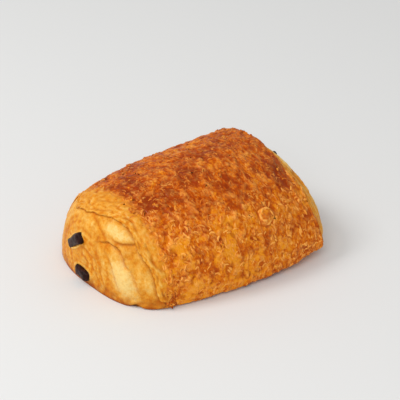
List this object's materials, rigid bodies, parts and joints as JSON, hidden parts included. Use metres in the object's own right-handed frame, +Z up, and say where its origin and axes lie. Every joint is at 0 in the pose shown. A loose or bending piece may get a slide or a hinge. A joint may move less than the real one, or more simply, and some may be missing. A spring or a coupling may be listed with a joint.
{
  "type": "pain au chocolat",
  "caption": "Baked roll of laminated dough around chocolate batons that show at its ends, with a glazed, flaky crust, bulging layered ends and a flat base.",
  "frame": {"origin": "under the middle of the whole piece, on the surface that it rests on", "axes": "+X along the roll and its batons, +Z up, -Y towards the front side"},
  "size_m": [0.1002, 0.0826, 0.0426],
  "materials": {
    "crust": "baked laminated dough, egg-glazed and semi-gloss, golden to red-brown, with fine flakes and blisters",
    "chocolate": "dark baking chocolate, dull where it was melted and set again"
  },
  "bodies": {
    "root": {"dough_roll": "crust", "chocolate_baton_upper": "chocolate", "chocolate_baton_lower": "chocolate"}
  },
  "joints": []
}
